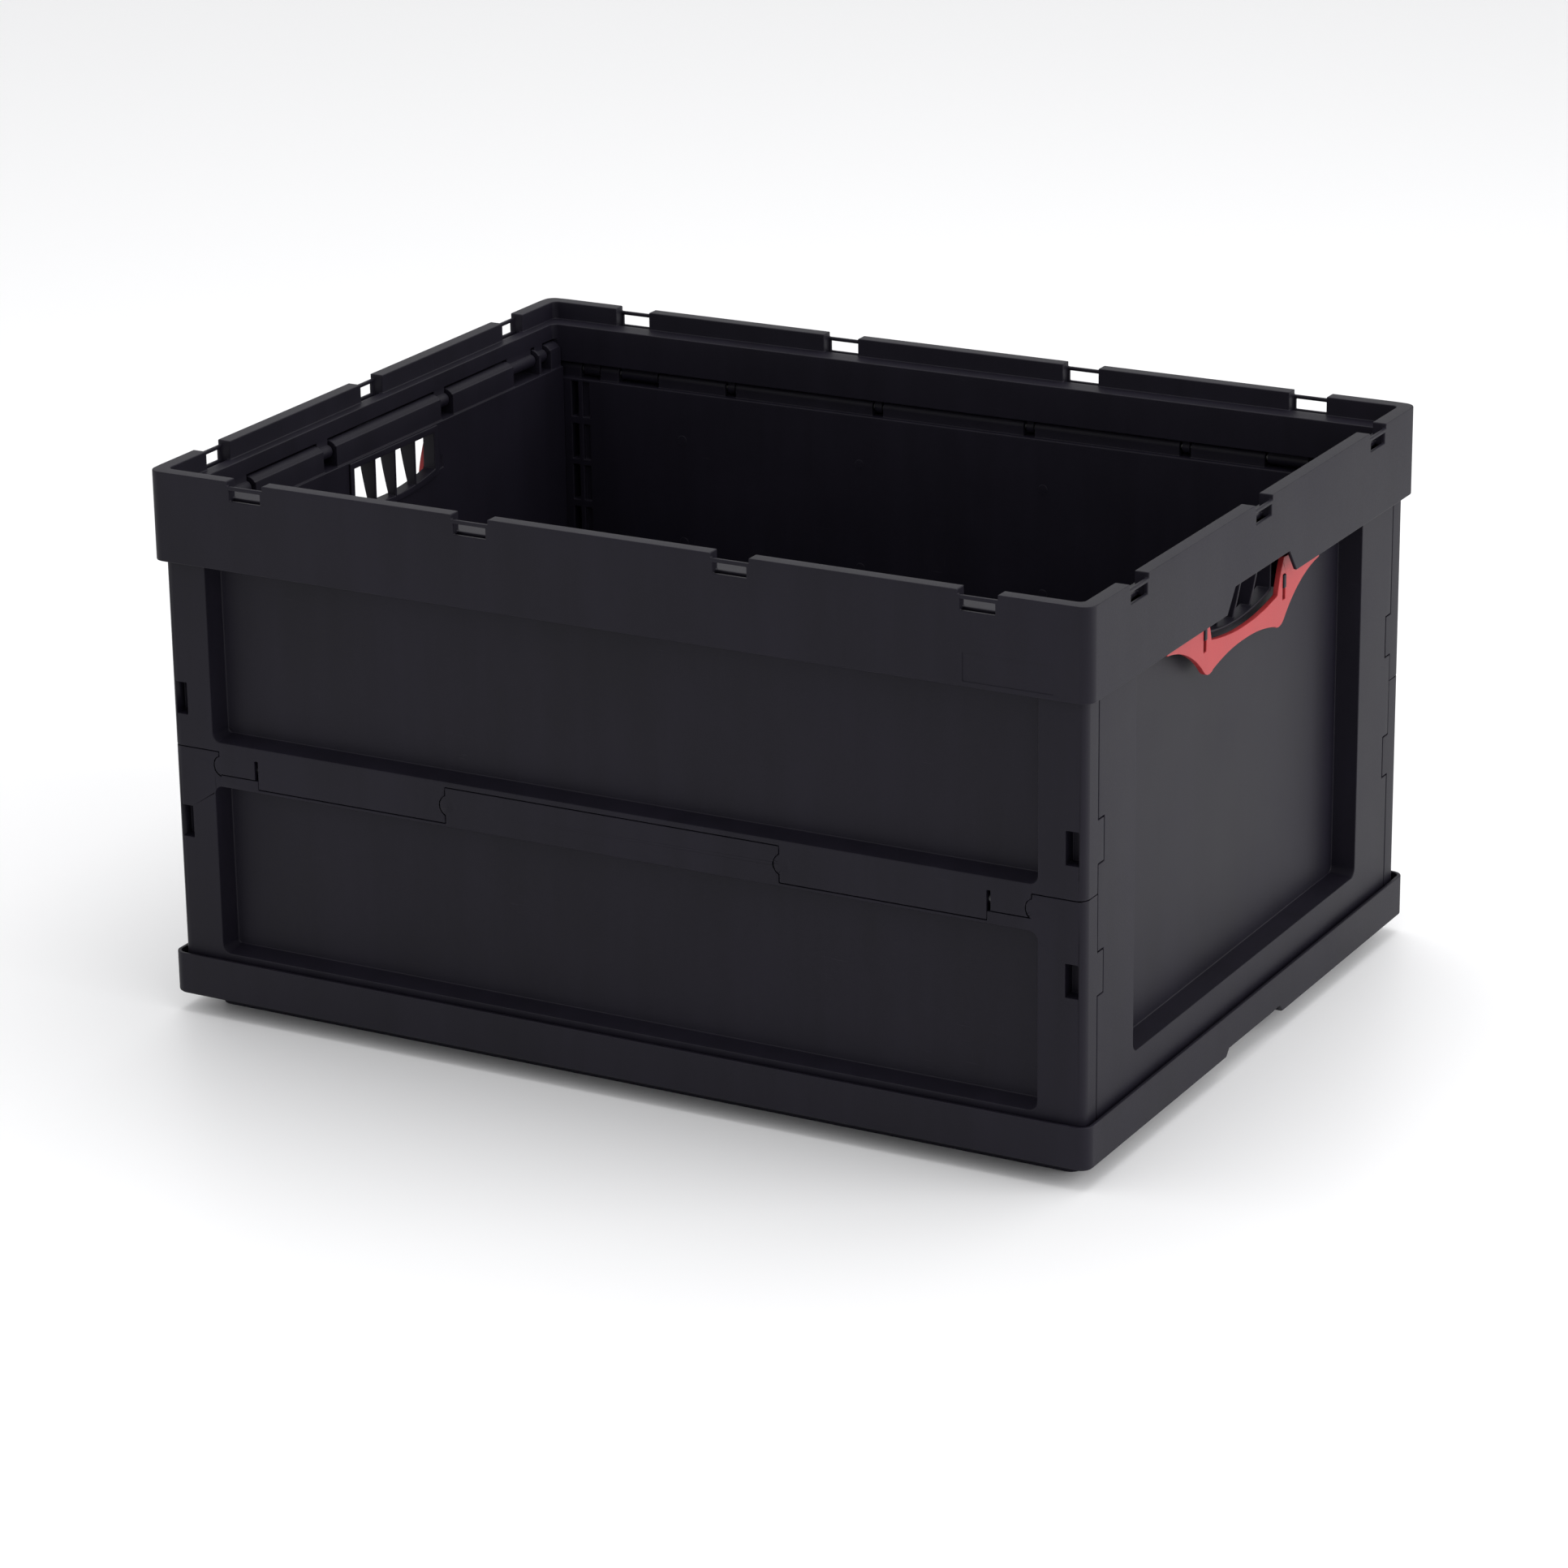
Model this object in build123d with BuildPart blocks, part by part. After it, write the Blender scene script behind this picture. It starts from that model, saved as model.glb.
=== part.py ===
"""A folding box: a tray and a top frame, joined by four hinged half walls along the long
sides and by two end walls that swing up under the frame, each with a release slide.

The box stands on Z = 0, its length runs along X and its width along Y.
"""

from build123d import *
import os

# Overall size
length = 800.0
width = 600.0
height = 445.0
corner_radius = 10.0
skin = 3.0
overlap = 1.0

# Base tray
skirt_bottom = 17.0
skirt_top = 50.0
floor_top = 19.0
foot_inset_x = 22.0
foot_inset_y = 29.5
foot_wall = 6.0
foot_rib = 3.0
foot_ribs_along_x = 5
foot_ribs_along_y = 3
base_notch_bottom_width = 108.0
base_notch_top_width = 95.0
base_notch_height = 6.0

# Top frame
frame_bottom = 373.0
lip_width = 11.5
ledge_top = 430.0
opening_x = 380.0
opening_y = 272.0
long_flange_bottom = 398.0
end_flange_bottom = 416.5
notch_width = 32.0
notch_cheek = 2.5
window_width = 28.0
window_bottom = 429.5
bar_bottom = 438.0
bar_top = 441.0
long_notch_places = (-311.0, -110.5, 110.5, 311.0)
end_notch_places = (-220.0, 0.0, 220.0)
cutout_bottom_width = 128.0
cutout_top_width = 100.0
cutout_top = 391.5
label_width = 72.0
label_height = 22.0
label_depth = 0.4
label_x = 335.0
label_z = 388.0

# Walls
wall_inset = 6.5
wall_x = length / 2 - wall_inset
wall_y = width / 2 - wall_inset
wall_corner_radius = 8.0
long_inner_y = 272.0
long_recess_floor_y = 276.5
long_recess_x = 356.0
recess_corner_radius = 7.0

# Hinge of the long walls: where the upper and lower halves meet
mid_axis_z = 210.5
mid_axis_y = wall_y - 7.5
mid_barrel_radius = 7.3
seam_end_z = 222.0
seam_centre_z = 225.0
seam_low_z = 196.0
seam_inside_z = 210.5
seam_gap = 0.6
knuckle_inner_x = 144.5
knuckle_outer_x = 351.0
knuckle_split_x = 315.0
knuckle_slit = 3.0
outer_knuckle_z = 203.5
slit_top_z = 219.0
dome_radius = 11.0
dome_centre = 3.4
dish_radius = 20.0
dish_depth = 0.6
dish_offset = 6.5

# Hinges of the long walls on the tray and on the frame
side_axis_y = 282.75
base_axis_z = 30.0
top_axis_z = 391.0
side_barrel_radius = 6.4
lug_clearance = 1.5
lug_barrel_radius = 5.2
lug_half_thickness = 4.2
long_lugs = ((70.0, 10.0), (210.0, 10.0), (299.5, 39.0), (346.5, 19.0))
rod_radius = 3.0
bore_radius = 3.08
long_rod_length = 724.0
mid_rod_length = 700.0

# Recessed fields of the long walls
recess_draft = 12.0
end_recess_draft = 3.0
upper_recess_bottom = 229.5
upper_recess_top = 380.0
upper_rail_top = 384.0
lower_recess_bottom = 54.0
lower_recess_top = 193.5
lower_rail_bottom = 38.0

# Stop tongues and core slots at the ends of the long walls
tongue_reach = 9.5
tongue_thickness = 4.0
tongue_height = 33.0
upper_tongue_z = 261.5
lower_tongue_z = 160.0
core_slot_x = 383.3
core_slot_width = 10.5
core_slot_height = 26.0
core_slot_depth = 12.0

# Open ribbing inside the posts of the long walls: each column's place and depth
ladder_columns = ((360.3, 15.0), (349.3, 3.0))
ladder_width = 6.5
ladder_slot_height = 31.0
ladder_upper_rows = (366.0, 328.5, 292.0, 254.5)
ladder_lower_rows = (177.0, 140.0, 103.0, 66.0)
post_pocket_x = 384.5
post_pocket_width = 11.0
post_pocket_depth = 5.0

# End walls
end_half_width = 271.2
end_outer_x = wall_x
end_inner_x = 370.5
end_recess_floor_x = 373.5
end_recess_half_width = 209.0
end_recess_bottom = 76.0
end_recess_top = 390.0
end_bottom = 28.0
end_top = 394.0
end_axis_x = 381.0
end_axis_z = 406.5
end_barrel_radius = 8.5
end_lugs = ((88.0, 19.0), (215.0, 42.0), (247.0, 16.0))
end_rod_length = 524.0
end_lug_radius = 5.5
strip_inner_x = 372.5
strip_top = 411.0
rail_skin = 3.5
rail_pocket_outer = 257.0
rail_pocket_inner = 214.0
rail_pocket_top = 384.0
bottom_rail_pockets = 4
tongue_pocket_depth = 4.3
tongue_pocket_clearance = 1.0

# Hand grip in each end wall
grip_half_width = 60.0
grip_top = 387.8
sill_centre_z = 350.0
sill_end_z = 357.0
insert_wall = 2.0
insert_gap = 0.2
insert_outer_x = 380.0
bezel_margin = 5.5
bezel_thickness = 2.0
slat_places = (-30.0, 0.0, 30.0)
slat_thickness = 2.6
slat_foot_x = 376.0
slat_middle_x = 380.2
slat_top_x = 383.5

# Release slide
slide_outer_x = 386.0
slide_thickness = 4.5
slide_travel = 9.0
slide_arch = ((0.0, 334.5), (30.0, 332.8), (57.0, 327.5))
slide_foot = ((57.0, 327.5), (65.0, 325.4), (73.5, 329.0))
slide_wing = ((73.5, 329.0), (101.0, 349.5), (140.0, 361.0))
slide_top = ((140.0, 361.0), (140.0, 371.0), (133.0, 377.0), (72.0, 379.5))
slide_prong = ((72.0, 379.5), (65.5, 366.0), (61.0, 351.5))
slide_saddle = ((61.0, 351.5), (0.0, 345.0), (-61.0, 351.5))
guide_y = 73.0
guide_slot_width = 5.0
guide_rib_width = 4.4
guide_rib_height = 10.8
guide_rib_outer_x = 387.0
guide_clearance = 0.3
guide_slot_top = 365.5
guide_slot_bottom = guide_slot_top - guide_rib_height - slide_travel - 2 * guide_clearance
pad_y = 90.0
pad_width = 10.0
pad_bottom = 352.0
pad_top = 376.0
inside_slot_depth = 1.5

# Return springs of the slide
spring_y = 104.0
spring_seat_z = 369.0
spring_top_z = 389.0
spring_notch_width = 10.5
spring_x = 383.0
spring_radius = 3.2
spring_wire = 0.45
spring_turns = 7
spring_play = 0.1


def block(x_low, x_high, y_low, y_high, z_low, z_high, mode=Mode.ADD):
    """Add or cut a box that spans the given limits."""
    centre = ((x_low + x_high) / 2, (y_low + y_high) / 2, (z_low + z_high) / 2)
    with Locations(centre):
        Box(x_high - x_low, y_high - y_low, z_high - z_low, mode=mode)


def rod(along, centre, radius, rod_length, mode=Mode.ADD):
    """Add or cut a cylinder that lies along X or Y and is centred on a point."""
    turn = (0, 90, 0) if along == "x" else (90, 0, 0)
    with Locations(centre):
        Cylinder(radius, rod_length, rotation=turn, mode=mode)


def ring(outer_x, outer_y, outer_radius, inner_x, inner_y, inner_radius, z_low, z_high):
    """Add a rectangular ring; its sizes are half lengths and half widths."""
    with BuildSketch(Plane.XY.offset(z_low)) as outline:
        RectangleRounded(2 * outer_x, 2 * outer_y, outer_radius)
        RectangleRounded(2 * inner_x, 2 * inner_y, inner_radius, mode=Mode.SUBTRACT)
    extrude(outline.sketch, amount=z_high - z_low)


def trapezoid_cut(bottom_width, top_width, z_low, z_high):
    """Cut a trapezoid through both end skirts, along X."""
    with BuildSketch(Plane.YZ) as outline:
        with BuildLine():
            Polyline(
                (-bottom_width / 2, z_low),
                (-top_width / 2, z_high),
                (top_width / 2, z_high),
                (bottom_width / 2, z_low),
                close=True,
            )
        make_face()
    extrude(outline.sketch, amount=length, both=True, mode=Mode.SUBTRACT)


def edge_block(side, across_x, along, depth, heights, mode=Mode.ADD):
    """Add or cut a box at one side of the frame, its depth measured in from the outer face."""
    reach = length / 2 if across_x else width / 2
    ends = sorted(side * (reach - amount) for amount in depth)
    if across_x:
        block(*ends, *along, *heights, mode)
    else:
        block(*along, *ends, *heights, mode)


def frame_notch(side, across_x, place):
    """Open the lip at one notch, leaving a thin bar over a window, between two cheeks."""
    half = notch_width / 2
    notch = (place - half, place + half)
    window = (place - window_width / 2, place + window_width / 2)
    through = (-overlap, skin + overlap)
    for cheek in (place - half - notch_cheek, place + half):
        edge_block(side, across_x, (cheek, cheek + notch_cheek), (0, lip_width),
                   (ledge_top - skin, height))
    edge_block(side, across_x, notch, (skin, lip_width + overlap), (ledge_top, height),
               Mode.SUBTRACT)
    edge_block(side, across_x, notch, through, (bar_top, height), Mode.SUBTRACT)
    edge_block(side, across_x, window, through, (window_bottom, bar_bottom), Mode.SUBTRACT)


def long_side_lugs(axis_z, reach_z):
    """Add the hinge lugs of both long sides, each from its barrel to a height."""
    z_ends = sorted((axis_z, reach_z))
    for place, gap in long_lugs:
        for x in (-place, place):
            for y in (-side_axis_y, side_axis_y):
                lug = gap - 2 * lug_clearance
                rod("x", (x, y, axis_z), lug_barrel_radius, lug)
                block(x - lug / 2, x + lug / 2, y - lug_half_thickness,
                      y + lug_half_thickness, *z_ends)
    for y in (-side_axis_y, side_axis_y):
        rod("x", (0, y, axis_z), bore_radius, long_rod_length, Mode.SUBTRACT)


def make_base_tray():
    """The tray: floor, raised skirt, stacking foot with ribs, and the lower hinge lugs."""
    foot_x = length / 2 - foot_inset_x
    foot_y = width / 2 - foot_inset_y
    floor_bottom = floor_top - skin
    rib_x = (overlap - foot_x, foot_x - overlap)
    rib_y = (overlap - foot_y, foot_y - overlap)
    with BuildPart() as tray:
        with BuildSketch(Plane.XY.offset(floor_bottom)) as floor:
            RectangleRounded(length - skin, width - skin, corner_radius - skin / 2)
        extrude(floor.sketch, amount=skin)
        ring(length / 2, width / 2, corner_radius,
             length / 2 - skin, width / 2 - skin, corner_radius - skin,
             skirt_bottom, skirt_top)
        ring(foot_x, foot_y, corner_radius, foot_x - foot_wall, foot_y - foot_wall,
             corner_radius - foot_wall, 0, floor_bottom)
        for row in range(1, foot_ribs_along_x + 1):
            x = -foot_x + 2 * foot_x * row / (foot_ribs_along_x + 1)
            block(x - foot_rib / 2, x + foot_rib / 2, *rib_y, 0, floor_bottom)
        for row in range(1, foot_ribs_along_y + 1):
            y = -foot_y + 2 * foot_y * row / (foot_ribs_along_y + 1)
            block(*rib_x, y - foot_rib / 2, y + foot_rib / 2, 0, floor_bottom)
        long_side_lugs(base_axis_z, floor_top - overlap)
        trapezoid_cut(base_notch_bottom_width, base_notch_top_width,
                      floor_bottom, skirt_bottom + base_notch_height)
        block(*rib_x, *rib_y, floor_bottom, floor_top)
    return tray


def make_top_frame():
    """The frame: skirt, hollow lip, stacking ledge, inner flange and the upper hinge lugs."""
    half_x = length / 2
    half_y = width / 2
    ledge_bottom = ledge_top - skin
    lip_inner_radius = corner_radius / 2
    with BuildPart() as frame:
        ring(half_x, half_y, corner_radius, half_x - skin, half_y - skin,
             corner_radius - skin, frame_bottom, height)
        ring(half_x, half_y, corner_radius, half_x - lip_width, half_y - lip_width,
             lip_inner_radius, height - skin, height)
        ring(half_x - lip_width + skin, half_y - lip_width + skin, lip_inner_radius + skin,
             half_x - lip_width, half_y - lip_width, lip_inner_radius, ledge_bottom, height)
        ring(half_x - lip_width + skin, half_y - lip_width + skin, lip_inner_radius + skin,
             opening_x, opening_y, lip_inner_radius, ledge_bottom, ledge_top)
        ring(opening_x + skin, opening_y + skin, lip_inner_radius + skin,
             opening_x, opening_y, lip_inner_radius, end_flange_bottom, ledge_top)
        for side in (-1, 1):
            y_ends = sorted((side * opening_y, side * (opening_y + skin)))
            block(-wall_x, wall_x, *y_ends, long_flange_bottom, ledge_top)
            for place in long_notch_places:
                frame_notch(side, False, place)
            for place in end_notch_places:
                frame_notch(side, True, place)
        long_side_lugs(top_axis_z, ledge_top - overlap)
        end_lugs_on_frame()
        trapezoid_cut(cutout_bottom_width, cutout_top_width, frame_bottom, cutout_top)
        block(label_x - label_width / 2, label_x + label_width / 2,
              -half_y, -half_y + label_depth,
              label_z - label_height / 2, label_z + label_height / 2, Mode.SUBTRACT)
    return frame


def end_lugs_on_frame():
    """Add the hinge lugs that hang from the ledge at both ends, with their bores."""
    for side in (-1, 1):
        x = side * end_axis_x
        x_ends = sorted((side * opening_x, x + side * end_lug_radius))
        for place, gap in end_lugs:
            for y in (-place, place):
                lug = gap - 2 * lug_clearance
                rod("y", (x, y, end_axis_z), end_lug_radius, lug)
                block(*x_ends, y - lug / 2, y + lug / 2, end_axis_z, ledge_top - overlap)
        rod("y", (x, 0, end_axis_z), bore_radius, end_rod_length, Mode.SUBTRACT)


def long_wall_body(z_low, z_high):
    """Add a plain slab along the front, with its two outer corners rounded."""
    depth = wall_y - long_inner_y
    with BuildSketch(Plane.XY.offset(z_low)) as outline:
        with Locations((0, -(wall_y + long_inner_y) / 2)):
            Rectangle(2 * wall_x, depth)
        outer_corners = outline.vertices().group_by(Axis.Y)[0]
        fillet(outer_corners, wall_corner_radius)
    extrude(outline.sketch, amount=z_high - z_low)


def long_wall_recess(z_low, z_high):
    """Sink the drafted field into the outer face of the front wall."""
    depth = wall_y - long_recess_floor_y
    face_plane = Plane((0, -wall_y, (z_low + z_high) / 2), x_dir=(1, 0, 0), z_dir=(0, -1, 0))
    with BuildSketch(face_plane) as outline:
        RectangleRounded(2 * long_recess_x, z_high - z_low, recess_corner_radius)
    extrude(outline.sketch, amount=-depth, taper=recess_draft, mode=Mode.SUBTRACT)


def post_openings(rows, tongue_z):
    """Cut the ladder of slots inside each post, its hollow, and the slot by the tongue."""
    half_slot = ladder_slot_height / 2
    for side in (-1, 1):
        for row in rows:
            for column, depth in ladder_columns:
                x = side * column
                block(x - ladder_width / 2, x + ladder_width / 2,
                      -long_inner_y - depth, -long_inner_y + overlap,
                      row - half_slot, row + half_slot, Mode.SUBTRACT)
            x = side * post_pocket_x
            block(x - post_pocket_width / 2, x + post_pocket_width / 2,
                  -long_inner_y - post_pocket_depth, -long_inner_y + overlap,
                  row - half_slot, row + half_slot, Mode.SUBTRACT)
        x = side * core_slot_x
        block(x - core_slot_width / 2, x + core_slot_width / 2,
              -wall_y - overlap, -wall_y + core_slot_depth,
              tongue_z - core_slot_height / 2, tongue_z + core_slot_height / 2, Mode.SUBTRACT)


def stop_tongues(tongue_z):
    """Add the tongue at each end that reaches over the outer face of the end wall."""
    for side in (-1, 1):
        x_ends = sorted((side * wall_x, side * (wall_x - tongue_thickness)))
        block(*x_ends, -long_inner_y - overlap, -long_inner_y + tongue_reach,
              tongue_z - tongue_height / 2, tongue_z + tongue_height / 2)


def side_barrels(axis_z, rail_z):
    """Add the barrel segments between the lugs of the front wall, and their bore."""
    limits = []
    start = -wall_x + wall_corner_radius
    for place, gap in sorted([(-x, gap) for x, gap in long_lugs] + list(long_lugs)):
        limits.append((start, place - gap / 2))
        start = place + gap / 2
    limits.append((start, wall_x - wall_corner_radius))
    z_ends = sorted((axis_z, rail_z))
    for x_low, x_high in limits:
        rod("x", ((x_low + x_high) / 2, -side_axis_y, axis_z), side_barrel_radius,
            x_high - x_low)
        block(x_low, x_high, -side_axis_y - side_barrel_radius,
              -side_axis_y + side_barrel_radius, *z_ends)
    rod("x", (0, -side_axis_y, axis_z), bore_radius, long_rod_length, Mode.SUBTRACT)


def make_dome(seam_x, growth=0.0):
    """The domed end of a middle knuckle: it points towards -X and is cut off at the wall's face."""
    with BuildPart() as dome:
        with Locations((seam_x + dome_centre, -mid_axis_y, mid_axis_z)):
            Sphere(dome_radius + growth)
        block(seam_x - dome_radius, seam_x + overlap, -wall_y - growth,
              -long_recess_floor_y, seam_low_z, seam_end_z, Mode.INTERSECT)
    return dome


def knuckle_dish(seam_x):
    """Sink a shallow round dish into the outer face, beside the domed end of a knuckle."""
    with Locations((seam_x + dish_offset, -wall_y - dish_radius + dish_depth, mid_axis_z)):
        Sphere(dish_radius, mode=Mode.SUBTRACT)


def make_upper_panel():
    """The upper half of the front wall, hinged on the frame and on the lower half."""
    half_gap = seam_gap / 2
    own_dome = make_dome(knuckle_inner_x + half_gap)
    taken_dome = make_dome(-knuckle_inner_x + half_gap, seam_gap)
    left_dome = make_dome(-knuckle_outer_x + half_gap)
    right_dome = make_dome(knuckle_outer_x + half_gap, seam_gap)
    skin_y = -long_recess_floor_y
    with BuildPart() as panel:
        long_wall_body(seam_end_z + half_gap, upper_rail_top)
        long_wall_recess(upper_recess_bottom, upper_recess_top)
        block(-knuckle_inner_x, knuckle_inner_x, -wall_y - overlap, skin_y,
              seam_end_z, seam_centre_z + half_gap, Mode.SUBTRACT)
        block(half_gap - knuckle_outer_x, knuckle_outer_x - half_gap, skin_y, -long_inner_y,
              seam_inside_z + half_gap, seam_end_z + overlap)
        for side in (-1, 1):
            x_ends = sorted((side * (knuckle_inner_x + half_gap),
                             side * (knuckle_outer_x - half_gap)))
            x_centre = sum(x_ends) / 2
            block(*x_ends, -wall_y, -mid_axis_y, seam_low_z + half_gap, seam_end_z + overlap)
            block(*x_ends, -mid_axis_y, skin_y, mid_axis_z, seam_end_z + overlap)
            rod("x", (x_centre, -mid_axis_y, mid_axis_z), mid_barrel_radius,
                x_ends[1] - x_ends[0])
            x_ends = sorted((side * knuckle_split_x, side * knuckle_outer_x))
            block(*x_ends, -wall_y - overlap, skin_y, seam_low_z, outer_knuckle_z, Mode.SUBTRACT)
            x_ends = sorted((side * knuckle_split_x, side * (knuckle_split_x + knuckle_slit)))
            block(*x_ends, -wall_y - overlap, skin_y, seam_low_z, slit_top_z, Mode.SUBTRACT)
        for dome in (own_dome, left_dome):
            add(dome.part)
        for dome in (taken_dome, right_dome):
            add(dome.part, mode=Mode.SUBTRACT)
        knuckle_dish(knuckle_inner_x)
        rod("x", (0, -mid_axis_y, mid_axis_z), bore_radius, mid_rod_length, Mode.SUBTRACT)
        post_openings(ladder_upper_rows, upper_tongue_z)
        stop_tongues(upper_tongue_z)
        side_barrels(top_axis_z, upper_rail_top - overlap)
    return panel


def make_lower_panel():
    """The lower half of the front wall, hinged on the tray and on the upper half."""
    half_gap = seam_gap / 2
    skin_y = -long_recess_floor_y
    own_dome = make_dome(-knuckle_inner_x + half_gap)
    taken_dome = make_dome(knuckle_inner_x + half_gap, seam_gap)
    left_dome = make_dome(-knuckle_outer_x + half_gap, seam_gap)
    right_dome = make_dome(knuckle_outer_x + half_gap)
    with BuildPart() as panel:
        long_wall_body(lower_rail_bottom, seam_low_z - half_gap)
        long_wall_recess(lower_recess_bottom, lower_recess_top)
        with BuildSketch(Plane.XY.offset(seam_low_z - overlap)) as posts:
            with Locations((0, -(wall_y + long_inner_y) / 2)):
                Rectangle(2 * wall_x, wall_y - long_inner_y)
            fillet(posts.vertices().group_by(Axis.Y)[0], wall_corner_radius)
            with Locations((0, -(wall_y + long_inner_y) / 2)):
                Rectangle(2 * (knuckle_outer_x + half_gap), wall_y, mode=Mode.SUBTRACT)
        extrude(posts.sketch, amount=seam_end_z - half_gap - seam_low_z + overlap)
        block(-knuckle_outer_x - overlap, knuckle_outer_x + overlap, skin_y, -long_inner_y,
              seam_low_z - overlap, seam_inside_z - half_gap)
        centre_x = knuckle_inner_x - half_gap
        block(-centre_x, centre_x, -wall_y, -mid_axis_y, seam_low_z - overlap,
              seam_centre_z - half_gap)
        block(-centre_x, centre_x, -mid_axis_y, skin_y, seam_low_z - overlap, mid_axis_z)
        rod("x", (0, -mid_axis_y, mid_axis_z), mid_barrel_radius, 2 * centre_x)
        for side in (-1, 1):
            x_ends = sorted((side * (knuckle_split_x + half_gap),
                             side * (knuckle_outer_x + overlap)))
            block(*x_ends, -wall_y, skin_y, seam_low_z - overlap, outer_knuckle_z - seam_gap)
        for dome in (own_dome, right_dome):
            add(dome.part)
        for dome in (taken_dome, left_dome):
            add(dome.part, mode=Mode.SUBTRACT)
        for seam_x in (-knuckle_inner_x, knuckle_outer_x):
            knuckle_dish(seam_x)
        rod("x", (0, -mid_axis_y, mid_axis_z), bore_radius, mid_rod_length, Mode.SUBTRACT)
        post_openings(ladder_lower_rows, lower_tongue_z)
        stop_tongues(lower_tongue_z)
        side_barrels(base_axis_z, lower_rail_bottom + overlap)
    return panel


def end_plane(x, z=0.0):
    """A plane across the box at X, with its own x along Y and its own y along Z."""
    return Plane((x, 0, z), x_dir=(0, 1, 0), z_dir=(1, 0, 0))


def grip_opening(x_low, x_high, margin, mode=Mode.ADD):
    """Add or cut the arched outline of the hand grip, grown by a margin."""
    side = grip_half_width + margin
    low = sill_end_z - margin
    high = grip_top + margin
    with BuildSketch(end_plane(x_low)) as outline:
        with BuildLine():
            ThreePointArc((-side, low), (0, sill_centre_z - margin), (side, low))
            Polyline((side, low), (side, high), (-side, high), (-side, low))
        make_face()
    extrude(outline.sketch, amount=x_high - x_low, mode=mode)


def end_barrels():
    """Add the barrel segments and the strip between the lugs, along the wall's top."""
    start = -end_half_width
    limits = []
    for place, gap in sorted([(-y, gap) for y, gap in end_lugs] + list(end_lugs)):
        limits.append((start, place - gap / 2))
        start = place + gap / 2
    limits.append((start, end_half_width))
    for y_low, y_high in limits:
        rod("y", (end_axis_x, (y_low + y_high) / 2, end_axis_z), end_barrel_radius,
            y_high - y_low)
        block(end_axis_x - end_barrel_radius, end_axis_x + end_barrel_radius,
              y_low, y_high, end_top - overlap, end_axis_z)
        block(strip_inner_x, end_axis_x, y_low, y_high, end_top - overlap, strip_top)
    rod("y", (end_axis_x, 0, end_axis_z), bore_radius, end_rod_length, Mode.SUBTRACT)


def make_end_wall():
    """The right end wall: a slab with a deep field, rails, hinge barrels and slide guides."""
    with BuildPart() as wall:
        block(end_inner_x, end_outer_x, -end_half_width, end_half_width, end_bottom, end_top)
        field_middle = (end_recess_bottom + end_recess_top) / 2
        with BuildSketch(end_plane(end_outer_x, field_middle)) as field:
            RectangleRounded(2 * end_recess_half_width, end_recess_top - end_recess_bottom,
                             recess_corner_radius)
        extrude(field.sketch, amount=end_recess_floor_x - end_outer_x, taper=end_recess_draft,
                mode=Mode.SUBTRACT)
        end_barrels()
        grip_opening(end_inner_x - overlap, end_outer_x, insert_wall + insert_gap, Mode.SUBTRACT)
        rail_x = (end_inner_x + rail_skin, end_outer_x - rail_skin)
        for side in (-1, 1):
            y_ends = sorted((side * rail_pocket_inner, side * rail_pocket_outer))
            block(*rail_x, *y_ends, end_bottom, rail_pocket_top, Mode.SUBTRACT)
            y_ends = sorted((side * (end_half_width + overlap),
                             side * (long_inner_y - tongue_reach - tongue_pocket_clearance)))
            for tongue_z in (upper_tongue_z, lower_tongue_z):
                half = tongue_height / 2 + tongue_pocket_clearance
                block(end_outer_x - tongue_pocket_depth, end_outer_x + overlap, *y_ends,
                      tongue_z - half, tongue_z + half, Mode.SUBTRACT)
            y = side * pad_y
            block(end_recess_floor_x - overlap, slide_outer_x - slide_thickness - guide_clearance,
                  y - pad_width / 2, y + pad_width / 2, pad_bottom, pad_top)
            y = side * guide_y
            rib_top = guide_slot_top - guide_clearance
            block(end_inner_x - overlap, end_inner_x + inside_slot_depth,
                  y - guide_slot_width / 2, y + guide_slot_width / 2,
                  rib_top - guide_rib_height, rib_top, Mode.SUBTRACT)
            block(end_recess_floor_x - overlap, guide_rib_outer_x,
                  y - guide_rib_width / 2, y + guide_rib_width / 2,
                  rib_top - guide_rib_height, rib_top)
        pitch = 2 * rail_pocket_inner / bottom_rail_pockets
        for number in range(bottom_rail_pockets):
            y_low = -rail_pocket_inner + number * pitch + rail_skin / 2
            block(*rail_x, y_low, y_low + pitch - rail_skin,
                  end_bottom, end_recess_bottom - rail_skin, Mode.SUBTRACT)
    return wall


def make_grip_insert():
    """The slatted sleeve that lines the hand grip, with a bezel on the inner face."""
    bezel_x = end_inner_x - bezel_thickness
    with BuildPart() as insert:
        grip_opening(bezel_x, insert_outer_x, insert_wall)
        grip_opening(bezel_x, end_inner_x, bezel_margin)
        grip_opening(bezel_x, insert_outer_x, 0, Mode.SUBTRACT)
        for place in slat_places:
            slat_plane = Plane((0, place, 0), x_dir=(1, 0, 0), z_dir=(0, -1, 0))
            middle_z = (sill_centre_z + grip_top) / 2
            with BuildSketch(slat_plane) as slat:
                with BuildLine():
                    ThreePointArc((slat_foot_x, sill_centre_z), (slat_middle_x, middle_z),
                                  (slat_top_x, grip_top + overlap))
                    Polyline((slat_top_x, grip_top + overlap), (bezel_x, grip_top + overlap),
                             (bezel_x, sill_centre_z), (slat_foot_x, sill_centre_z))
                make_face()
            extrude(slat.sketch, amount=slat_thickness / 2, both=True)
    return insert


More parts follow.
